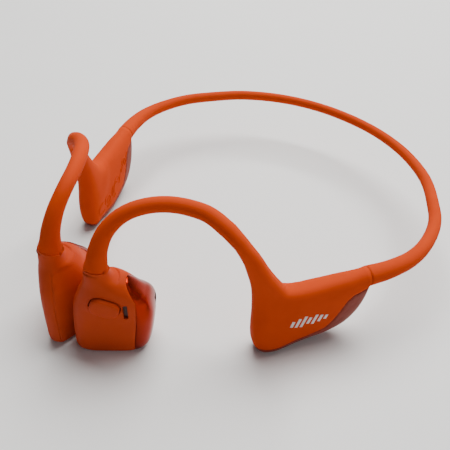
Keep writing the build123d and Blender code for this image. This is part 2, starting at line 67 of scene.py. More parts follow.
# ear hook: distance along the plan route, height, radius, lean inward from the route
HOOK = [(0.0, 30.4, 3.05, 0.0), (0.5, 32.0, 2.9, 0.1), (1.8, 36.6, 2.55, 0.3), (4.6, 41.5, 2.25, 0.8),
        (9.3, 45.2, 2.12, 1.5), (15.1, 46.9, 2.12, 2.15), (21.4, 47.2, 2.15, 2.25), (27.5, 46.3, 2.2, 1.9),
        (32.3, 45.1, 2.25, 1.25), (36.4, 43.0, 2.28, 0.55)]
# box: lower end, upper end, half thickness, squareness
BOX = [(38.2, 38.6, 41.0, 41.6, 2.25, 2.1), (40.2, 34.4, 44.9, 36.0, 2.4, 2.1),
       (41.5, 30.2, 47.5, 31.2, 2.65, 2.2), (42.5, 26.0, 50.2, 26.8, 3.0, 2.3),
       (43.1, 21.0, 52.7, 23.4, 3.4, 2.4), (43.2, 15.0, 54.6, 22.6, 3.8, 2.6),
       (43.0, 9.0, 55.6, 22.4, 4.1, 2.8), (43.4, 3.6, 56.4, 22.3, 4.3, 2.9),
       (45.2, 0.3, 57.3, 22.3, 4.4, 3.0), (49.0, -0.5, 58.6, 22.3, 4.4, 3.0),
       (54.0, -0.4, 60.5, 22.4, 4.4, 3.0), (59.5, 0.5, 63.3, 22.5, 4.4, 2.9),
       (65.7, 1.6, 66.3, 22.7, 4.3, 2.8), (71.2, 3.9, 69.4, 22.9, 4.1, 2.7),
       (75.0, 8.0, 72.0, 23.0, 3.8, 2.5), (77.0, 12.4, 74.2, 23.1, 3.4, 2.3),
       (77.7, 16.2, 76.1, 23.2, 3.05, 2.1)]
BAND = [(57.6, 5.2, 2.72), (59.9, 13.5, 2.4), (59.9, 22.5, 2.15), (57.5, 32.5, 2.05), (52.8, 41.0, 1.98),
        (43.3, 53.1, 1.9), (30.3, 62.3, 1.85), (15.6, 67.8, 1.8), (0.0, 69.6, 1.8)]
BAND_BACK_Z = 19.7
WIRE_R = 0.45
BOX_AT, BOX_HEADING = Vector((43.0, -24.0, 0.0)), math.radians(63.1)
POD_AT, POD_HEADING = Vector((7.7, -61.0, 0.0)), math.radians(46.0)
# the joint between silicone skin and base cover, along the box and up
SPLIT = [(-15.0, 1.7), (-6.2, 2.3), (-1.9, 2.7), (6.6, 4.35), (11.9, 6.5), (14.2, 9.8), (15.9, 12.9),
         (17.5, 16.1), (19.6, 17.9), (23.8, 18.7), (29.0, 18.8)]
# pod: height, front, rear, outer, inner extent, squareness
POD_RINGS = [(0.0, -6.6, 9.0, -3.5, 5.2, 3.6), (0.12, -7.6, 10.0, -3.9, 6.2, 3.8),
             (0.9, -8.9, 11.4, -4.35, 7.4, 4.0), (2.6, -9.3, 12.6, -4.55, 8.4, 4.2), (6.0, -9.2, 13.5, -4.6, 9.0, 4.2),
             (10.0, -8.9, 14.2, -4.6, 9.3, 4.2), (14.4, -8.4, 14.5, -4.6, 9.3, 4.1), (18.5, -7.6, 13.7, -4.6, 8.8, 3.7),
             (21.0, -6.6, 12.2, -4.6, 8.1, 3.3), (23.2, -5.6, 10.6, -4.5, 7.1, 3.0), (24.8, -4.8, 9.2, -4.35, 6.1, 2.7),
             (26.0, -4.2, 7.9, -4.1, 5.2, 2.5), (27.0, -3.8, 6.3, -3.85, 4.2, 2.3), (28.0, -3.5, 4.8, -3.65, 3.75, 2.15),
             (29.2, -3.3, 3.9, -3.4, 3.45, 2.05), (31.0, -3.12, 3.12, -3.12, 3.12, 2.0)]
# the height of the fold on the outer face: rearward, height
POD_CREASE = [(-9.0, 29.0), (-4.0, 28.2), (1.3, 26.6), (5.0, 25.0), (9.0, 22.4), (10.5, 21.4), (18.0, 20.6)]
# where the rear cover starts: height, rearward
POD_COVER_LINE = [(-1.0, 8.1), (4.0, 8.5), (14.0, 9.8), (20.5, 10.2), (26.8, 7.4), (29.0, 6.4)]
# how far the inner front corner is cut back: across, rearward
POD_INNER_TUCK = [(1.0, 0.2), (2.5, 1.6), (4.5, 3.4), (6.5, 5.2), (8.3, 7.0), (9.4, 8.6)]
NECK_SEAM_Z, NECK_SEAM_LEAN = 30.4, 0.42
POD_PARTING = 0.5
BUTTON_AT, BUTTON_TILT = (1.8, 20.1), math.radians(-25.0)
BUTTON_SIZE, BUTTON_ROUND, BUTTON_GAP = (8.2, 5.8), 2.5, 0.25
MIC, MIC_SLOT = (7.2, 18.1), (1.3, 5.0)
EMBLEM_BARS = [(1.0, 2.0), (2.7, 3.2), (4.4, 4.0), (6.1, 2.4), (7.8, 3.6), (9.5, 2.6), (11.2, 1.6)]
EMBLEM_Z, EMBLEM_BAR, EMBLEM_SLANT = 12.2, 0.9, 0.35

# holes in the right base cover: length along the box, width
HOLE_SIZE = {"charging_socket": (8.94, 3.26), "status_light": (0.7, 0.7)}
VOLUME_HOLE = (3.5, 2.7)
PAD_MIDDLE, PAD_HALF = (4.2, 12.8), (4.2, 7.0)
FRONT_LEAN = 1.1

SIDES = ("left", "right")
BODY = {"left": "left_half", "right": "right_half"}


# ---------------------------------------------------------------- numbers and curves
def spline4(p0, p1, p2, p3, t):
    return 0.5 * (2 * p1 + (p2 - p0) * t + (2 * p0 - 5 * p1 + 4 * p2 - p3) * t * t
                  + (3 * p1 - p0 - 3 * p2 + p3) * t ** 3)


def smooth_route(points, per_span):
    first = tuple(2 * a - b for a, b in zip(points[0], points[1]))
    last = tuple(2 * a - b for a, b in zip(points[-1], points[-2]))
    ring = [first] + list(points) + [last]
    route = []
    for i in range(1, len(ring) - 2):
        for k in range(per_span):
            t = k / per_span
            route.append(tuple(spline4(*(ring[i + j][c] for j in (-1, 0, 1, 2)), t) for c in range(len(ring[i]))))
    return route + [tuple(points[-1])]


def along(table, x):
    """Straight-line lookup in a table of (x, value)."""
    for (x0, v0), (x1, v1) in zip(table, table[1:]):
        if x <= x1:
            return v0 + (v1 - v0) * max(0.0, (x - x0) / (x1 - x0))
    return table[-1][1]


def smoothstep(a, b, x):
    """An eased step from 0 at a to 1 at b; a may be the greater."""
    t = min(1.0, max(0.0, (x - a) / (b - a)))
    return t * t * (3 - 2 * t)


def softplus(x, soft):
    """max(0, x) with its corner rounded over soft millimetres."""
    return 0.5 * (x + math.sqrt(x * x + soft * soft)) - 0.5 * soft * math.exp(-abs(x) / soft)


PLAN = smooth_route(ARM_PLAN, 8)
PLAN_S = [0.0]
for here, there in zip(PLAN, PLAN[1:]):
    PLAN_S.append(PLAN_S[-1] + math.dist(here, there))


def plan_at(s):
    i = 0
    while i < len(PLAN) - 2 and PLAN_S[i + 1] < s:
        i += 1
    (ax, ay), (bx, by) = PLAN[i], PLAN[i + 1]
    span = PLAN_S[i + 1] - PLAN_S[i]
    t = (s - PLAN_S[i]) / span
    return Vector((ax + (bx - ax) * t, ay + (by - ay) * t, 0)), Vector((bx - ax, by - ay, 0)) / span


def outward(s):
    _, h = plan_at(s)
    return Vector((h.y, -h.x, 0))


def arm_point(s, z, inward=0.0):
    p, _ = plan_at(s)
    return Vector((p.x, p.y, z)) - outward(s) * inward


def local(origin, heading):
    return Matrix.Translation(origin) @ Matrix.Rotation(heading, 4, "Z")


TO_POD, TO_BOX = local(POD_AT, POD_HEADING), local(BOX_AT, BOX_HEADING)
FROM_BOX = TO_BOX.inverted()


def settle(side):
    """The matrix that puts a left-arm point in place on a side."""
    sign = 1 if side == "left" else -1
    pivot = Vector((sign * SEAM.x, SEAM.y, 0))
    turn = Matrix.Translation(pivot) @ Matrix.Rotation(SETTLE_YAW[side], 4, "Z") @ Matrix.Translation(-pivot)
    return Matrix.Translation(SHIFT) @ turn @ Matrix.Diagonal((sign, 1, 1, 1))


# ---------------------------------------------------------------- mesh helpers
def object_from(name, bm, matrix=None, smooth=True):
    """A Blender object from a bmesh in millimetres."""
    if matrix is not None:
        bm.transform(matrix)
    bm.transform(Matrix.Scale(MM, 4))
    if matrix is not None and matrix.determinant() < 0:
        bmesh.ops.reverse_faces(bm, faces=bm.faces)
    mesh = bpy.data.meshes.new(name)
    bm.to_mesh(mesh)
    bm.free()
    obj = bpy.data.objects.new(name, mesh)
    bpy.context.scene.collection.objects.link(obj)
    for poly in mesh.polygons:
        poly.use_smooth = smooth
    return obj


def rings_mesh(rings, cap_start=True, cap_end=True):
    """A tube of quads through equal rings of points."""
    bm = bmesh.new()
    rows = [[bm.verts.new(p) for p in ring] for ring in rings]
    n = len(rows[0])
    for a, b in zip(rows, rows[1:]):
        for k in range(n):
            bm.faces.new((a[k], a[(k + 1) % n], b[(k + 1) % n], b[k]))
    for flag, row in ((cap_start, rows[0][::-1]), (cap_end, rows[-1])):
        if flag:
            bm.faces.new(row)
    bmesh.ops.recalc_face_normals(bm, faces=bm.faces)
    return bm


def superellipse(centre, major, minor, a, b, power, count):
    points = []
    for k in range(count):
        t = 2 * math.pi * (k + 0.5) / count
        c, s = math.cos(t), math.sin(t)
        u = a * math.copysign(abs(c) ** (2 / power), c)
        v = b * math.copysign(abs(s) ** (2 / power), s)
        points.append(centre + major * u + minor * v)
    return points


def apply_modifiers(obj):
    dg = bpy.context.evaluated_depsgraph_get()
    mesh = bpy.data.meshes.new_from_object(obj.evaluated_get(dg))
    mesh.name = obj.name
    old = obj.data
    obj.modifiers.clear()
    obj.data = mesh
    bpy.data.meshes.remove(old)
    return obj


def modify(obj, kind, **settings):
    mod = obj.modifiers.new(kind.lower(), kind)
    for key, value in settings.items():
        setattr(mod, key, value)
    return mod


def thicken(obj, depth):
    modify(obj, "SOLIDIFY", thickness=depth * MM, offset=-1.0, use_even_offset=False)
    return apply_modifiers(obj)


def cut(obj, cutters):
    """Boolean difference with each cutter, which is then removed."""
    for cutter in cutters:
        modify(obj, "BOOLEAN", operation="DIFFERENCE", object=cutter, solver="EXACT")
        apply_modifiers(obj)
        bpy.data.objects.remove(cutter)
    return obj


def finish_piece(obj, material, body, nodes=()):
    obj.data.materials.clear()
    obj.data.materials.append(material)
    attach(obj, body)
    if nodes:
        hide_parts(*nodes)
    return obj


def split_mesh(bm, height_of, keep_above):
    """Cut a mesh along height_of(v) = 0 and keep one side; height_of is measured, flattened, cut and undone."""
    copy = bm.copy()
    layer = copy.verts.layers.float_vector.new("at")
    for v in copy.verts:
        v[layer] = v.co
        v.co = Vector((v.co.x, v.co.y, height_of(v.co)))
    bmesh.ops.bisect_plane(copy, geom=copy.verts[:] + copy.edges[:] + copy.faces[:], dist=1e-5,
                           plane_co=(0, 0, 0), plane_no=(0, 0, 1 if keep_above else -1), clear_inner=True)
    for v in copy.verts:
        v.co = v[layer]
    copy.verts.layers.float_vector.remove(layer)
    bmesh.ops.remove_doubles(copy, verts=copy.verts, dist=0.03)
    return copy


def press_seam(bm, distance_of, width=0.45, depth=0.16):
    """Round a part line: points near it sink along their normals."""
    bm.normal_update()
    moves = [(v, v.normal.copy(), abs(distance_of(v.co))) for v in bm.verts]
    for v, normal, d in moves:
        if d < width:
            v.co -= normal * depth * (1 - smoothstep(0.0, width, d))


# ---------------------------------------------------------------- materials
def node_material(name):
    mat = bpy.data.materials.new(name)
    mat.use_nodes = True
    nodes, links = mat.node_tree.nodes, mat.node_tree.links
    nodes.clear()
    out = nodes.new("ShaderNodeOutputMaterial")
    bsdf = nodes.new("ShaderNodeBsdfPrincipled")
    links.new(bsdf.outputs[0], out.inputs[0])
    coord = nodes.new("ShaderNodeTexCoord")
    return mat, nodes, links, bsdf, coord


def noise(nodes, links, coord, scale, detail=3.0, roughness=0.5):
    tex = nodes.new("ShaderNodeTexNoise")
    tex.inputs["Scale"].default_value = scale
    tex.inputs["Detail"].default_value = detail
    tex.inputs["Roughness"].default_value = roughness
    links.new(coord.outputs["Object"], tex.inputs["Vector"])
    return tex


def surface(name, colour, other, rough=(0.5, 0.6), metallic=0.0, grain=2600.0, bump=0.05, bump_mm=0.02,
            patch=60.0, coat=0.0, subsurface=0.0, specular=0.5, streak=False):
    """A procedural surface: two mixed tones, uneven roughness, and a fine grain in relief."""
    mat, nodes, links, bsdf, coord = node_material(name)
    tone = noise(nodes, links, coord, patch, 4.0, 0.6)
    ramp = nodes.new("ShaderNodeValToRGB")
    ramp.color_ramp.elements[0].position, ramp.color_ramp.elements[1].position = 0.3, 0.7
    ramp.color_ramp.elements[0].color = (*colour, 1)
    ramp.color_ramp.elements[1].color = (*other, 1)
    links.new(tone.outputs["Fac"], ramp.inputs["Fac"])
    links.new(ramp.outputs["Color"], bsdf.inputs["Base Color"])
    fine = noise(nodes, links, coord, grain, 2.0, 0.5)
    if streak:
        mapping = nodes.new("ShaderNodeMapping")
        mapping.inputs["Scale"].default_value = (1.0, 1.0, 0.04)
        links.new(coord.outputs["Object"], mapping.inputs["Vector"])
        links.new(mapping.outputs["Vector"], fine.inputs["Vector"])
    spread = nodes.new("ShaderNodeMapRange")
    spread.inputs["To Min"].default_value, spread.inputs["To Max"].default_value = rough
    links.new(fine.outputs["Fac"], spread.inputs["Value"])
    links.new(spread.outputs["Result"], bsdf.inputs["Roughness"])
    relief = nodes.new("ShaderNodeBump")
    relief.inputs["Strength"].default_value = bump
    relief.inputs["Distance"].default_value = bump_mm * MM
    links.new(fine.outputs["Fac"], relief.inputs["Height"])
    links.new(relief.outputs["Normal"], bsdf.inputs["Normal"])
    bsdf.inputs["Metallic"].default_value = metallic
    bsdf.inputs["Coat Weight"].default_value = coat
    bsdf.inputs["Subsurface Weight"].default_value = subsurface
    bsdf.inputs["Subsurface Scale"].default_value = 0.6 * MM
    bsdf.inputs["Specular IOR Level"].default_value = specular
    return mat


M = {
    "silicone": surface("orange_silicone", (0.56, 0.055, 0.009), (0.50, 0.047, 0.007), (0.62, 0.74), grain=3200.0,
                        bump=0.35, bump_mm=0.02, subsurface=0.02, specular=0.03),
    "matte": surface("orange_soft_touch", (0.50, 0.050, 0.009), (0.44, 0.042, 0.007), (0.48, 0.58), grain=4200.0,
                     bump=0.3, bump_mm=0.014, subsurface=0.02, specular=0.08),
    "pad": surface("pad_silicone", (0.72, 0.10, 0.012), (0.66, 0.09, 0.010), (0.38, 0.5), grain=2400.0,
                   bump=0.25, bump_mm=0.015, subsurface=0.15),
    "metal": surface("metallic_orange", (0.32, 0.020, 0.005), (0.26, 0.016, 0.004), (0.22, 0.30), metallic=1.0,
                     grain=9000.0, bump=0.25, bump_mm=0.006),
    "maroon": surface("maroon_plastic", (0.24, 0.030, 0.012), (0.20, 0.024, 0.010), (0.45, 0.55), grain=3600.0,
                      bump=0.25, bump_mm=0.012, specular=0.2),
    "print": surface("emblem_print", (0.80, 0.72, 0.68), (0.70, 0.62, 0.58), (0.5, 0.65), grain=5000.0, bump=0.2,
                     bump_mm=0.01),
    "steel": surface("spring_steel", (0.55, 0.55, 0.57), (0.48, 0.48, 0.5), (0.22, 0.4), metallic=1.0, grain=3000.0,
                     bump=0.2, bump_mm=0.01, streak=True),
    "black": surface("black_plastic", (0.012, 0.012, 0.014), (0.02, 0.02, 0.022), (0.4, 0.55), grain=3000.0,
                     bump=0.3, bump_mm=0.02),
    "dark": surface("dark_mesh", (0.055, 0.007, 0.004), (0.035, 0.005, 0.003), (0.5, 0.7), grain=6000.0, bump=0.6,
                    bump_mm=0.03),
    "rubber": surface("gasket_rubber", (0.02, 0.02, 0.02), (0.03, 0.03, 0.03), (0.6, 0.8), bump=0.3),
    "nickel": surface("nickel", (0.62, 0.60, 0.56), (0.54, 0.52, 0.5), (0.18, 0.3), metallic=1.0, grain=2500.0,
                      bump=0.1),
    "copper": surface("copper_winding", (0.70, 0.28, 0.12), (0.6, 0.22, 0.1), (0.25, 0.4), metallic=1.0,
                      grain=2500.0, bump=0.8, bump_mm=0.05, streak=True),
    "board": surface("solder_mask", (0.012, 0.10, 0.035), (0.01, 0.07, 0.03), (0.25, 0.4), grain=1500.0, bump=0.3),
    "foil": surface("battery_foil", (0.5, 0.5, 0.52), (0.42, 0.42, 0.45), (0.3, 0.45), metallic=0.9, grain=900.0,
                    bump=0.4, bump_mm=0.05),
    "light": surface("light_pipe", (0.75, 0.74, 0.70), (0.7, 0.69, 0.66), (0.2, 0.3), grain=900.0, coat=0.5),
}
NODE_LOOKS = {
    "silicone": ("arm_skin", "neckband_left", "neckband_right"),
    "matte": ("pod_outer", "pod_inner", "multifunction"),
    "pad": ("skin_pad",), "metal": ("pod_rear_cover",), "maroon": ("base_cover", "volume_up", "volume_down"),
    "print": ("emblem",), "steel": ("wire", "transducer_spring"), "black": ("box_tub", "air_driver", "tongue"),
    "rubber": ("pod_seal",), "nickel": ("yoke", "magnet", "microphone", "charging_socket"), "copper": ("coil",),
    "dark": ("grille", "mic_mesh", "switch", "chips"), "board": ("button_board", "main_board", "battery_board"),
    "foil": ("battery",), "light": ("status_light",)}
for look, words in NODE_LOOKS.items():
    for node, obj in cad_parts.items():
        if any(word in node for word in words):
            obj.data.materials.clear()
            obj.data.materials.append(M[look])


# ---------------------------------------------------------------- arms
ARM_COUNT = 64


def arm_rings():
    """Rings of points over the whole arm, from the pod seam to the band seam."""
    rings = []
    hook = smooth_route(HOOK, 6)
    for i, (s, z, r, inward) in enumerate(hook):
        before, after = hook[max(i - 1, 0)], hook[min(i + 1, len(hook) - 1)]
        step = arm_point(after[0], after[1], after[3]) - arm_point(before[0], before[1], before[3])
        direction = step.normalized()
        if i == 0:
            direction = Vector((0, 0, 1))
        side = outward(s + 0.5)
        minor = (side - direction * side.dot(direction)).normalized()
        rings.append(superellipse(arm_point(s, z, inward), direction.cross(minor).normalized(), minor, r, r, 2.0,
                                  ARM_COUNT))
    for low_s, low_z, high_s, high_z, half, power in smooth_route(BOX, 8):
        p_low, p_high = arm_point(low_s, low_z), arm_point(high_s, high_z)
        major = (p_high - p_low) / 2
        side = outward((low_s + high_s) / 2)
        minor = (side - major * (side.dot(major) / major.dot(major))).normalized()
        rings.append(superellipse((p_low + p_high) / 2, -major.normalized(), minor, major.length, half, power,
                                  ARM_COUNT))
    end, heading = arm_point(PLAN_S[-1], SEAM.z), plan_at(PLAN_S[-1])[1]
    minor = outward(PLAN_S[-1])
    rings.append(superellipse(end, heading.cross(minor).normalized(), minor, BAND_SEAM_R, BAND_SEAM_R, 2.0,
                              ARM_COUNT))
    return rings


def arm_mesh():
    bm = rings_mesh(arm_rings())
    lean = (TO_BOX.to_3x3() @ Vector((0, -1, 0))).normalized()
    for v in bm.verts:
        here = FROM_BOX @ v.co
        if here.x < 4.0 and v.co.z < 22.0:
            v.co += lean * FRONT_LEAN * smoothstep(22.0, 6.0, v.co.z) * smoothstep(4.0, -7.0, here.x)
        if v.co.z < 0.05:
            v.co.z = 0.05 * math.exp((v.co.z - 0.05) / 0.6)
    for _ in range(2):
        free = [v for v in bm.verts if v.co.z < 30 and band_seam(v.co) > 1.0]
        bmesh.ops.smooth_vert(bm, verts=free, factor=0.5, use_axis_x=True, use_axis_y=True, use_axis_z=True)
    return bm


def above_split(co):
    here = FROM_BOX @ co
    return here.z - along(SPLIT, here.x)


def neck_seam(co):
    return co.z - NECK_SEAM_Z if (co.xy - POD_AT.xy).length < 6 else 99.0


def band_seam(co):
    end = plan_at(PLAN_S[-1])
    return (end[0].xy - co.xy).dot(end[1].xy)


def lean_seam(bm, to_local):
    """Lean the neck's seam so that it lies square to the hook: its front edge stands higher."""
    for v in bm.verts:
        here = to_local(v.co)
        near = 1 - smoothstep(0.0, 5.0, abs(v.co.z - NECK_SEAM_Z))
        if here.xy.length < 6.0 and near > 0.0:
            v.co.z -= NECK_SEAM_LEAN * near * (here.x * 0.55 + here.y * 0.84)


def from_pod_axis(co):
    return Matrix.Rotation(-POD_HEADING, 4, "Z") @ (co - POD_AT)


ARM = arm_mesh()
lean_seam(ARM, from_pod_axis)
ARM_SKIN = split_mesh(ARM, above_split, True)
ARM_COVER = split_mesh(ARM, above_split, False)
for shape in (ARM_SKIN, ARM_COVER):
    press_seam(shape, above_split, 0.4, 0.14)
press_seam(ARM_SKIN, neck_seam, 0.35, 0.07)
press_seam(ARM_SKIN, band_seam, 0.2, 0.04)
ARM_SKIN.normal_update()
SKIN_TREE = BVHTree.FromBMesh(ARM_SKIN)


def on_box_face(l, z, lift, inner=False):
    """A point on the outer or inner face of the box, lifted off it."""
    sign = 1 if inner else -1
    start = TO_BOX @ Vector((l, sign * 12.0, z))
    ray = (TO_BOX.to_3x3() @ Vector((0, -sign, 0))).normalized()
    hit, _, _, _ = SKIN_TREE.ray_cast(start, ray)
    if hit is None:
        return TO_BOX @ Vector((l, sign * 4.4, z))
    return hit - ray * lift


def relief(outline_sets, lift, inner, sink=0.25):
    """Thin raised shapes on a box face; each outline is a grid of (l, z) rows."""
    bm = bmesh.new()
    for rows, closed in outline_sets:
        top = [[bm.verts.new(on_box_face(l, z, lift, inner)) for l, z in row] for row in rows]
        low = [[bm.verts.new(on_box_face(l, z, -sink, inner)) for l, z in row] for row in rows]
        n, m = len(rows), len(rows[0])
        spans = range(n if closed else n - 1)
        for i in spans:
            j = (i + 1) % n
            for k in range(m - 1):
                bm.faces.new((top[i][k], top[i][k + 1], top[j][k + 1], top[j][k]))
                bm.faces.new((low[i][k], low[j][k], low[j][k + 1], low[i][k + 1]))
            for k in (0, m - 1):
                bm.faces.new((top[i][k], top[j][k], low[j][k], low[i][k]))
        if not closed:
            for i in (0, n - 1):
                for k in range(m - 1):
                    bm.faces.new((top[i][k], low[i][k], low[i][k + 1], top[i][k + 1]))
    bmesh.ops.recalc_face_normals(bm, faces=bm.faces)
    return bm


def bar(l, z, length, width, turn=0.0, steps=6):
    """A bar's grid, centred at (l, z), its length turned from upright."""
    rows = []
    for i in range(steps + 1):
        u = (i / steps - 0.5) * length
        row = []
        for k in range(3):
            v = (k / 2 - 0.5) * width
            row.append((l + u * math.sin(turn) + v * math.cos(turn), z + u * math.cos(turn) - v * math.sin(turn)))
        rows.append(row)
    return rows, False


def ring(l, z, radius, width, start=0.0, sweep=360.0, steps=28):
    """A ring's or an arc's grid."""
    rows = []
    whole = sweep >= 359.9
    for i in range(steps if whole else steps + 1):
        a = math.radians(start + sweep * i / steps)
        rows.append([(l + r * math.cos(a), z + r * math.sin(a)) for r in (radius - width / 2, radius,
                                                                        radius + width / 2)])
    return rows, whole


def emblem_shapes():
    slant = math.atan(EMBLEM_SLANT)
    return [bar(place, EMBLEM_Z, height / math.cos(slant), EMBLEM_BAR, slant) for place, height in EMBLEM_BARS]


def mark_shapes():
    """Plain moulded marks in a curved row on the inner face: rings, arcs and bars that spell nothing."""
    w = 0.42
    shapes = [ring(-4.6, 7.2, 2.3, w, 60, 240), ring(-0.6, 8.4, 1.9, w), bar(-0.6, 8.4, 1.7, w, 0.9)]
    shapes += [bar(2.9, 9.7, 3.4, w, 0.3), bar(4.3, 10.1, 3.4, w, 0.3), ring(7.2, 11.6, 1.8, w, -60, 250)]
    shapes += [bar(7.2, 11.6, 1.4, w, 1.3), bar(10.2, 13.2, 3.2, w, 0.5), bar(11.7, 13.6, 2.2, w, 0.5)]
    shapes += [ring(14.2, 15.4, 1.6, w), bar(14.2, 15.4, 1.4, w, 0.2), bar(17.0, 16.9, 2.4, w, 0.7)]
    shapes += [bar(-3.9, 5.1, 2.0, w, 1.25), bar(0.4, 5.6, 2.6, w, 1.25), bar(4.4, 6.9, 2.2, w, 1.2)]
    return shapes


def pill_mesh(length, width, half_count=16):
    """An upright prism with a stadium outline, through the base cover's floor."""
    straight = (length - width) / 2
    row = []
    for k in range(2 * half_count):
        a = math.pi * (k + 0.5) / half_count
        row.append(Vector((math.copysign(straight, math.cos(a)) + width / 2 * math.cos(a),
                           width / 2 * math.sin(a), 0)))
    return rings_mesh([[p + Vector((0, 0, z)) for p in row] for z in (-4.0, 7.0)])


for side in SIDES:
    put = settle(side)
    skin = thicken(object_from(f"{side}_arm_silicone", ARM_SKIN.copy(), put), 0.8)
    finish_piece(skin, M["silicone"], BODY[side], [f"{side}_arm_skin"])
    cover = thicken(object_from(f"{side}_base_plate", ARM_COVER.copy(), put), 0.9)
    if side == "right":
        holes = []
        for node in ("charging_socket", "volume_up_button", "volume_down_button", "status_light"):
            low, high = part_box(node)
            middle = (low + high) / 2 / MM
            middle.z = 0.0
            turn = put.to_3x3().to_4x4() @ Matrix.Rotation(BOX_HEADING, 4, "Z")
            bm = pill_mesh(*HOLE_SIZE.get(node, VOLUME_HOLE))
            holes.append(object_from("hole", bm, Matrix.Translation(middle) @ turn, smooth=False))
        cut(cover, holes)
    finish_piece(cover, M["maroon"], BODY[side], [f"{side}_base_cover"])
    bars = object_from(f"{side}_emblem_bars", relief(emblem_shapes(), 0.03, False), put)
    finish_piece(bars, M["print"], BODY[side], [f"{side}_emblem"])
    marks = object_from(f"{side}_moulded_marks", relief(mark_shapes(), 0.2, True), put)
    finish_piece(marks, M["silicone"], BODY[side])


# ---------------------------------------------------------------- neckband
def band_rings(radius=None, count=32):
    """Rings from the left seam round the back to the right seam."""
    half = {}
    for side in SIDES:
        put = settle(side)
        sign = 1 if side == "left" else -1
        first = put @ arm_point(PLAN_S[-1], SEAM.z)
        rows = [(*first, BAND_SEAM_R)]
        for i, (x, y, r) in enumerate(BAND):
            rows.append((sign * x, y - MIDDLE_Y, SEAM.z + (BAND_BACK_Z - SEAM.z) * (i + 1) / len(BAND), r))
        half[side] = rows
    route = half["left"] + half["right"][-2::-1]
    fine = smooth_route(route, 10)
    points = [Vector(row[:3]) for row in fine]
    rings = []
    for i, row in enumerate(fine):
        direction = (points[min(i + 1, len(points) - 1)] - points[max(i - 1, 0)]).normalized()
        if i in (0, len(fine) - 1):
            side = "left" if i == 0 else "right"
            heading = settle(side).to_3x3() @ plan_at(PLAN_S[-1])[1]
            direction = heading if i == 0 else -heading
        minor = (Vector((0, 0, 1)) - direction * direction.z).normalized()
        r = radius or row[3]
        rings.append(superellipse(points[i], direction.cross(minor), minor, r, r, 2.0, count))
    return rings, points


rings, band_points = band_rings()
bm = rings_mesh(rings)
band = object_from("neckband_silicone", bm)
band.data.materials.append(M["silicone"])
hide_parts("neckband_left", "neckband_right")
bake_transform(band)
wire = object_from("neckband_spring", rings_mesh(band_rings(WIRE_R, count=12)[0]))
wire.data.materials.append(M["steel"])
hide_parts("neckband_wire_left", "neckband_wire_right")
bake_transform(wire)


# ---------------------------------------------------------------- pods
POD_COUNT = 112


def pod_rings():
    rings = []
    for z, front, rear, outer, inner, power in smooth_route(POD_RINGS, 7):
        centre = Vector(((front + rear) / 2, (outer + inner) / 2, z))
        points = superellipse(centre, Vector((1, 0, 0)), Vector((0, 1, 0)), (rear - front) / 2,
                              (inner - outer) / 2, power, POD_COUNT)
        rings.append([pod_shape(p) for p in points])
    return rings


def pod_shape(p):
    """The pod's own form: its inner front corner is cut back, and the outer face folds in above its crease."""
    u, y, z = p
    body = 1 - smoothstep(24.5, 28.0, z)
    if y > 1.0:
        low = 1 + 0.25 * (1 - smoothstep(0.0, 9.0, z))
        u += along(POD_INNER_TUCK, y) * low * body * max(0.0, min(1.0, (5.0 - u) / 13.0)) ** 1.2
        y = 1.0 + (y - 1.0) * (1 - 0.42 * smoothstep(3.0, 12.5, u) * smoothstep(15.0, 24.0, z))
    over = softplus(z - along(POD_CREASE, u), 0.7)
    outer = smoothstep(2.0, -3.0, y)
    slope = 0.06 + 0.10 * smoothstep(2.0, 8.0, u) + 0.24 * smoothstep(8.5, 12.0, u)
    y += over * slope * outer * smoothstep(3.2, 7.5, math.hypot(u, y))
    return Vector((u, y, max(0.0, z)))


def rear_of_line(co):
    return co.x - along(POD_COVER_LINE, co.z)


def in_button(u, z):
    """Distance outside the button's rounded outline."""
    du, dz = u - BUTTON_AT[0], z - BUTTON_AT[1]
    c, s = math.cos(-BUTTON_TILT), math.sin(-BUTTON_TILT)
    a, b = abs(du * c - dz * s), abs(du * s + dz * c)
    qx, qy = a - BUTTON_SIZE[0] / 2 + BUTTON_ROUND, b - BUTTON_SIZE[1] / 2 + BUTTON_ROUND
    return math.hypot(max(qx, 0), max(qy, 0)) + min(max(qx, qy), 0) - BUTTON_ROUND


def rounded_row(size, corner, grow, per_corner=7):
    """Points round a rounded rectangle about the origin, in (u, z)."""
    row = []
    for cx, cz, a0 in ((1, 1, 0), (-1, 1, 90), (-1, -1, 180), (1, -1, 270)):
        for k in range(per_corner):
            a = math.radians(a0 + 90 * k / (per_corner - 1))
            row.append((cx * (size[0] / 2 - corner) + (corner + grow) * math.cos(a),
                        cz * (size[1] / 2 - corner) + (corner + grow) * math.sin(a)))
    return row


def placed(row, at, tilt, y):
    c, s = math.cos(tilt), math.sin(tilt)
    return [Vector((at[0] + a * c - b * s, y, at[1] + a * s + b * c)) for a, b in row]


def pod_face_y(u, z, tree):
    hit, _, _, _ = tree.ray_cast(Vector((u, -20, z)), Vector((0, 1, 0)))
    return hit.y if hit else -4.4


POD = rings_mesh(pod_rings())
for v in POD.verts:
    if v.co.z > NECK_SEAM_Z:
        v.co.z = NECK_SEAM_Z
lean_seam(POD, lambda co: co)
POD_TREE = BVHTree.FromBMesh(POD)
bmesh.ops.subdivide_edges(POD, edges=[e for e in POD.edges if e.calc_length() > 0.9], cuts=1, use_grid_fill=True)


def button_mesh():
    rows = []
    profile = [(-1.4, 0.0), (-0.2, 0.0), (0.75, 0.0), (1.0, -0.08), (1.16, -0.22), (1.24, -0.45), (1.28, -0.8),
               (1.3, -1.5), (1.3, -2.2)]
    for lift, grow in profile:
        row = []
        for p in placed(rounded_row(BUTTON_SIZE, BUTTON_ROUND, grow), BUTTON_AT, BUTTON_TILT, 0):
            y = pod_face_y(p.x, p.z, POD_TREE)
            row.append(Vector((p.x, y - lift, p.z)))
        rows.append(row)
    return rings_mesh(rows)


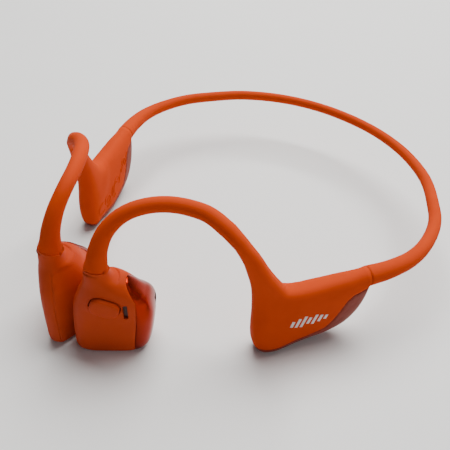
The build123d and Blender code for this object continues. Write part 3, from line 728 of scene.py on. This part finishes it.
def prism(rows_at, y0, y1):
    return rings_mesh([[Vector((p.x, y, p.z)) for p in rows_at] for y in (y0, y1)])


def pad_mesh():
    rows = []
    for y, k in ((8.2, 1.0), (9.0, 1.0), (9.5, 0.985), (9.9, 0.95), (10.2, 0.87), (10.36, 0.7), (10.4, 0.45),
                 (10.4, 0.15)):
        rows.append(superellipse(Vector((PAD_MIDDLE[0], y, PAD_MIDDLE[1])), Vector((0, 0, 1)), Vector((1, 0, 0)),
                                 PAD_HALF[1] * k, PAD_HALF[0] * k, 2.4, 48))
    return rings_mesh(rows)


for side in SIDES:
    put = settle(side) @ TO_POD
    front = split_mesh(POD, lambda co: -rear_of_line(co), True)
    press_seam(front, rear_of_line, 0.4, 0.13)
    press_seam(front, lambda co: co.z - NECK_SEAM_Z, 0.35, 0.07)
    rear = split_mesh(POD, rear_of_line, True)
    press_seam(rear, rear_of_line, 0.35, 0.12)
    outer = split_mesh(front, lambda co: POD_PARTING - co.y + 20 * smoothstep(25.0, 26.0, co.z), True)
    inner = split_mesh(front, lambda co: co.y - POD_PARTING - 20 * smoothstep(25.0, 26.0, co.z), True)
    for shape in (outer, inner):
        press_seam(shape, lambda co: co.y - POD_PARTING if co.z < 25.0 else 9.0, 0.28, 0.05)
    if side == "left":
        for v in outer.verts:
            if v.co.y < 0:
                d = in_button(v.co.x, v.co.z)
                v.co.y -= 0.12 * math.exp(-((d - 0.7) / 0.5) ** 2)
    shell = thicken(object_from(f"{side}_pod_face", outer, put), 1.0)
    cutters = [object_from("slot", prism(placed(rounded_row(MIC_SLOT, 0.25, 0.0, 4), MIC, 0.0, 0), -9, 2), put,
                           smooth=False)]
    if side == "left":
        cutters.append(object_from("hole", prism(placed(rounded_row(BUTTON_SIZE, BUTTON_ROUND, BUTTON_GAP),
                                                        BUTTON_AT, BUTTON_TILT, 0), -9, 0), put, smooth=False))
    cut(shell, cutters)
    finish_piece(shell, M["matte"], BODY[side], [f"{side}_pod_outer_shell"])
    back = thicken(object_from(f"{side}_pod_inner_face", inner, put), 1.0)
    finish_piece(back, M["matte"], BODY[side], [f"{side}_pod_inner_shell"])
    cap = thicken(object_from(f"{side}_driver_cover", rear, put), 0.8)
    port = prism(placed(rounded_row((8.0, 6.0), 0.4, 0.0, 4), (16.5, 12.8), 0.0, 0), 3.0, 6.0)
    cut(cap, [object_from("port", port, put, smooth=False)])
    finish_piece(cap, M["metal"], BODY[side], [f"{side}_pod_rear_cover"])
    pad = object_from(f"{side}_cheek_pad", pad_mesh(), put)
    finish_piece(pad, M["pad"], BODY[side], [f"{side}_skin_pad"])
    if side == "left":
        button = object_from("multifunction_key", button_mesh(), put)
        modify(button, "SUBSURF", levels=1, render_levels=1)
        apply_modifiers(button)
        finish_piece(button, M["matte"], "multifunction_button", ["multifunction_button"])


# ---------------------------------------------------------------- small CAD pieces with softened edges
def softened(node, width, look, body):
    """A copy of a CAD piece with rounded edges, in its place."""
    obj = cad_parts[node]
    mesh = obj.data.copy()
    piece = bpy.data.objects.new(f"{node}_soft", mesh)
    bpy.context.scene.collection.objects.link(piece)
    bm = bmesh.new()
    bm.from_mesh(mesh)
    bmesh.ops.remove_doubles(bm, verts=bm.verts, dist=0.01 * MM)
    bmesh.ops.dissolve_limit(bm, angle_limit=math.radians(2), verts=bm.verts, edges=bm.edges)
    bm.to_mesh(mesh)
    bm.free()
    modify(piece, "BEVEL", width=width * MM, segments=3, limit_method="ANGLE", angle_limit=math.radians(40))
    apply_modifiers(piece)
    return finish_piece(piece, look, body, [node])


softened("volume_up_button", 0.25, M["maroon"], "volume_up_button")
softened("volume_down_button", 0.25, M["maroon"], "volume_down_button")
softened("charging_socket", 0.1, M["nickel"], "right_half")


# ---------------------------------------------------------------- floor, light and camera
def plane(name, size, at, mat):
    bm = bmesh.new()
    bmesh.ops.create_grid(bm, x_segments=2, y_segments=2, size=size / 2)
    obj = object_from(name, bm, Matrix.Translation(at))
    obj.data.materials.append(mat)
    return obj


floor_mat = surface("pale_floor", (0.84, 0.835, 0.825), (0.82, 0.815, 0.805), (0.55, 0.65), grain=300.0, bump=0.05,
                    patch=8.0)
plane("floor", 3000, Vector((0, 0, 0)), floor_mat)


def area(name, size, energy, at, aim, colour=(1, 1, 1)):
    data = bpy.data.lights.new(name, "AREA")
    data.shape, data.size, data.size_y = "RECTANGLE", size[0], size[1]
    data.energy, data.color = energy, colour
    lamp = bpy.data.objects.new(name, data)
    lamp.location = at
    lamp.rotation_euler = (Vector(aim) - Vector(at)).to_track_quat("-Z", "Y").to_euler()
    bpy.context.scene.collection.objects.link(lamp)


area("key", (0.9, 0.7), 21.0, (-0.15, 0.42, 0.85), (0, 0, 0), (1.0, 0.99, 0.97))
area("fill", (0.9, 0.6), 1.2, (0.80, 0.25, 0.6), (0, 0, 0), (0.97, 0.98, 1.0))
world = bpy.data.worlds.new("studio")
world.use_nodes = True
tree = world.node_tree
sky = tree.nodes["Background"]
way = tree.nodes.new("ShaderNodeTexCoord")
split = tree.nodes.new("ShaderNodeSeparateXYZ")
ramp = tree.nodes.new("ShaderNodeValToRGB")
tree.links.new(way.outputs["Generated"], split.inputs[0])
tree.links.new(split.outputs["Z"], ramp.inputs["Fac"])
tree.links.new(ramp.outputs["Color"], sky.inputs["Color"])
ramp.color_ramp.elements[0].position, ramp.color_ramp.elements[0].color = 0.06, (2.4, 2.4, 2.45, 1)
edge = ramp.color_ramp.elements.new(0.18)
edge.color = (0.50, 0.51, 0.53, 1)
ramp.color_ramp.elements[2].position, ramp.color_ramp.elements[2].color = 0.62, (0.16, 0.16, 0.17, 1)
sky.inputs["Strength"].default_value = 0.42
bpy.context.scene.world = world

CAMERA_AT = Vector((99.84, -111.59, 136.78)) + SHIFT
CAMERA_AIM = Vector((-0.5, -2.6, 7.0)) + SHIFT
CAMERA_ROLL = math.radians(0.9)
camera_data = bpy.data.cameras.new("camera")
camera_data.lens = 36.0 * 561 / 450
camera_data.clip_start = 0.005
camera = bpy.data.objects.new("camera", camera_data)
look = (CAMERA_AIM - CAMERA_AT).to_track_quat("-Z", "Y").to_matrix().to_4x4()
camera.matrix_world = Matrix.Translation(CAMERA_AT * MM) @ look @ Matrix.Rotation(CAMERA_ROLL, 4, "Z")
bpy.context.scene.collection.objects.link(camera)
bpy.context.scene.camera = camera
